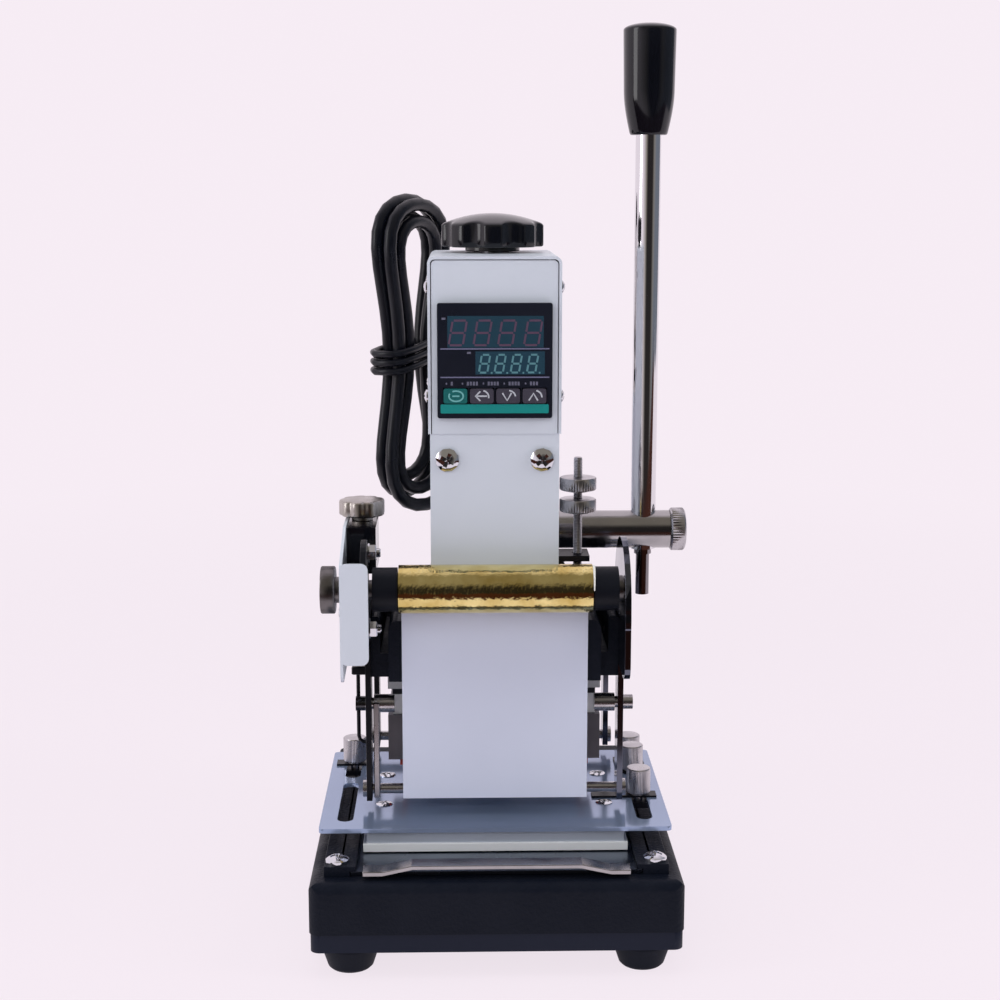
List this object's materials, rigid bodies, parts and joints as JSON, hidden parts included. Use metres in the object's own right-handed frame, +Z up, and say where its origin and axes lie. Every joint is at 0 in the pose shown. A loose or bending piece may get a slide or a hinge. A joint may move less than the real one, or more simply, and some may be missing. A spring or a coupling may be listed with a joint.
{
  "type": "hot foil stamping machine",
  "caption": "Bench press with a side lever that drives a heated stamping head down on a sliding slotted table, with a foil roll, temperature controller and depth stop.",
  "frame": {"origin": "on the bench top, midway between the four feet", "axes": "+X to the operator's right, +Y towards the back, +Z up"},
  "size_m": [0.1679, 0.21, 0.3975],
  "materials": {
    "black_iron": "black textured paint",
    "bottom_plate": "dark satin paint",
    "foot_rubber": "matt moulded rubber",
    "chrome_screw": "chromed",
    "white_paint": "white powder coat",
    "bronze": "turned bronze",
    "case_plastic": "dark navy moulded case with a clear window",
    "black_plate": "black satin paint",
    "polished_plate": "mirror chrome",
    "nickel": "nickel-plated, knurled where held",
    "spring_steel": "bright spring wire",
    "cord_plastic": "black flexible plastic",
    "teal_key": "teal moulded key",
    "grey_key": "grey moulded key",
    "steel": "ground steel",
    "knob_plastic": "glossy black plastic",
    "insulator": "white insulating board",
    "heater": "cast aluminium",
    "silicone": "red silicone",
    "tray_steel": "bright sheet steel",
    "block_aluminium": "milled aluminium",
    "core_plastic": "black plastic core",
    "gold_foil": "metallised gold film"
  },
  "bodies": {
    "base": {"base_casting": "black_iron", "base_bottom_plate": "bottom_plate", "rubber_feet": "foot_rubber", "table_rails": "black_iron", "pan_head_screws": "chrome_screw", "c_frame": "white_paint", "column_cover": "white_paint", "bronze_bushes": "bronze", "yoke": "black_iron", "head_shell": "white_paint", "head_chassis": "white_paint", "small_screws": "chrome_screw", "controller_case": "case_plastic", "guard_sheet": "white_paint", "left_foil_plate": "black_plate", "right_foil_plate": "polished_plate", "guide_rods": "nickel", "feed_cover": "white_paint", "feed_block": "black_iron", "stop_bracket": "black_plate", "return_spring": "spring_steel", "cord_gland": "cord_plastic", "cord_lead": "cord_plastic", "cord_hank": "cord_plastic", "cord_tail": "cord_plastic", "cord_plug": "cord_plastic", "cord_tie": "cord_plastic"},
    "lever": {"pinion_shaft": "polished_plate", "lever_rod": "polished_plate", "lever_grip": "knob_plastic"},
    "ram": {"ram": "steel", "carrier_plate": "steel", "insulator_plate": "insulator", "heater_block": "heater", "heater_pad": "silicone", "stop_stud": "nickel"},
    "table": {"table_tray": "tray_steel", "table_block": "block_aluminium", "slotted_plate": "polished_plate", "pull_handle": "polished_plate"},
    "right_rear_stop": {"right_rear_stop": "black_plate", "rear_thumb_screws": "nickel"},
    "supply_roll": {"supply_axle": "nickel", "supply_core": "core_plastic", "foil_roll": "gold_foil"},
    "set_key": {"set_key": "teal_key"},
    "shift_key": {"shift_key": "grey_key"},
    "down_key": {"down_key": "grey_key"},
    "up_key": {"up_key": "grey_key"},
    "adjusting_screw": {"adjusting_screw": "steel"},
    "star_knob": {"star_knob": "knob_plastic"},
    "lever_cap": {"lever_cap": "nickel"},
    "upper_stop_nut": {"upper_stop_nut": "nickel"},
    "lower_stop_nut": {"lower_stop_nut": "nickel"},
    "left_stop": {"left_stop": "black_plate"},
    "right_front_stop": {"right_front_stop": "black_plate"},
    "left_thumb_screw": {"left_thumb_screw": "nickel"},
    "front_thumb_screw": {"front_thumb_screw": "nickel"},
    "takeup_roll": {"takeup_roll": "core_plastic"},
    "feed_knob": {"feed_knob": "nickel"}
  },
  "joints": [
    {"name": "lever_turn", "type": "hinge", "parent": "base", "child": "lever", "pos_m": [0, 0.005, 0.17], "axis": [1, 0, 0], "range_deg": [0, 90]},
    {"name": "ram_slide", "type": "slide", "parent": "base", "child": "ram", "axis": [0, 0, -1], "range_m": [0, 0.0158], "stiffness_N_per_m": 1500, "springref_m": -0.02, "deforming": ["return_spring"]},
    {"name": "lever_cap_turn", "type": "hinge", "parent": "lever", "child": "lever_cap", "pos_m": [0.0859, 0.005, 0.17], "axis": [1, 0, 0], "continuous": true},
    {"name": "screw_rise", "type": "slide", "parent": "base", "child": "adjusting_screw", "axis": [0, 0, 1], "range_m": [0, 0.00451]},
    {"name": "knob_turn", "type": "hinge", "parent": "adjusting_screw", "child": "star_knob", "pos_m": [0, -0.012, 0.3], "axis": [0, 0, 1], "range_deg": [0, 1080]},
    {"name": "upper_nut_turn", "type": "hinge", "parent": "ram", "child": "upper_stop_nut", "pos_m": [0.03675, -0.038, 0.2], "axis": [0, 0, 1], "continuous": true},
    {"name": "lower_nut_turn", "type": "hinge", "parent": "ram", "child": "lower_stop_nut", "pos_m": [0.03675, -0.038, 0.19], "axis": [0, 0, 1], "continuous": true},
    {"name": "table_slide", "type": "slide", "parent": "base", "child": "table", "axis": [0, -1, 0], "range_m": [0, 0.055]},
    {"name": "left_stop_slide", "type": "slide", "parent": "table", "child": "left_stop", "axis": [0, 1, 0], "range_m": [-0.016, 0.006]},
    {"name": "right_front_stop_slide", "type": "slide", "parent": "table", "child": "right_front_stop", "axis": [0, 1, 0], "range_m": [-0.022, 0.016]},
    {"name": "right_rear_stop_slide", "type": "slide", "parent": "table", "child": "right_rear_stop", "axis": [0, 1, 0], "range_m": [-0.002, 0.005]},
    {"name": "left_thumb_turn", "type": "hinge", "parent": "left_stop", "child": "left_thumb_screw", "pos_m": [-0.06525, 0.011, 0.06], "axis": [0, 0, 1], "continuous": true},
    {"name": "front_thumb_turn", "type": "hinge", "parent": "right_front_stop", "child": "front_thumb_screw", "pos_m": [0.06525, -0.036, 0.06], "axis": [0, 0, 1], "continuous": true},
    {"name": "supply_spin", "type": "hinge", "parent": "base", "child": "supply_roll", "pos_m": [0, -0.073, 0.16], "axis": [1, 0, 0], "continuous": true},
    {"name": "takeup_spin", "type": "hinge", "parent": "base", "child": "takeup_roll", "pos_m": [0, 0.033, 0.128], "axis": [1, 0, 0], "continuous": true},
    {"name": "feed_knob_turn", "type": "hinge", "parent": "base", "child": "feed_knob", "pos_m": [-0.0575, -0.037, 0.189], "axis": [0, 0, 1], "continuous": true},
    {"name": "set_press", "type": "slide", "parent": "base", "child": "set_key", "axis": [0, 1, 0], "range_m": [0, 0.0005], "stiffness_N_per_m": 400},
    {"name": "shift_press", "type": "slide", "parent": "base", "child": "shift_key", "axis": [0, 1, 0], "range_m": [0, 0.0005], "stiffness_N_per_m": 400},
    {"name": "down_press", "type": "slide", "parent": "base", "child": "down_key", "axis": [0, 1, 0], "range_m": [0, 0.0005], "stiffness_N_per_m": 400},
    {"name": "up_press", "type": "slide", "parent": "base", "child": "up_key", "axis": [0, 1, 0], "range_m": [0, 0.0005], "stiffness_N_per_m": 400}
  ],
  "couplings": [
    {"joint": "ram_slide", "follows": "lever_turn", "m_per_rad": 0.01},
    {"joint": "screw_rise", "follows": "knob_turn", "m_per_rad": 0.00023873}
  ]
}
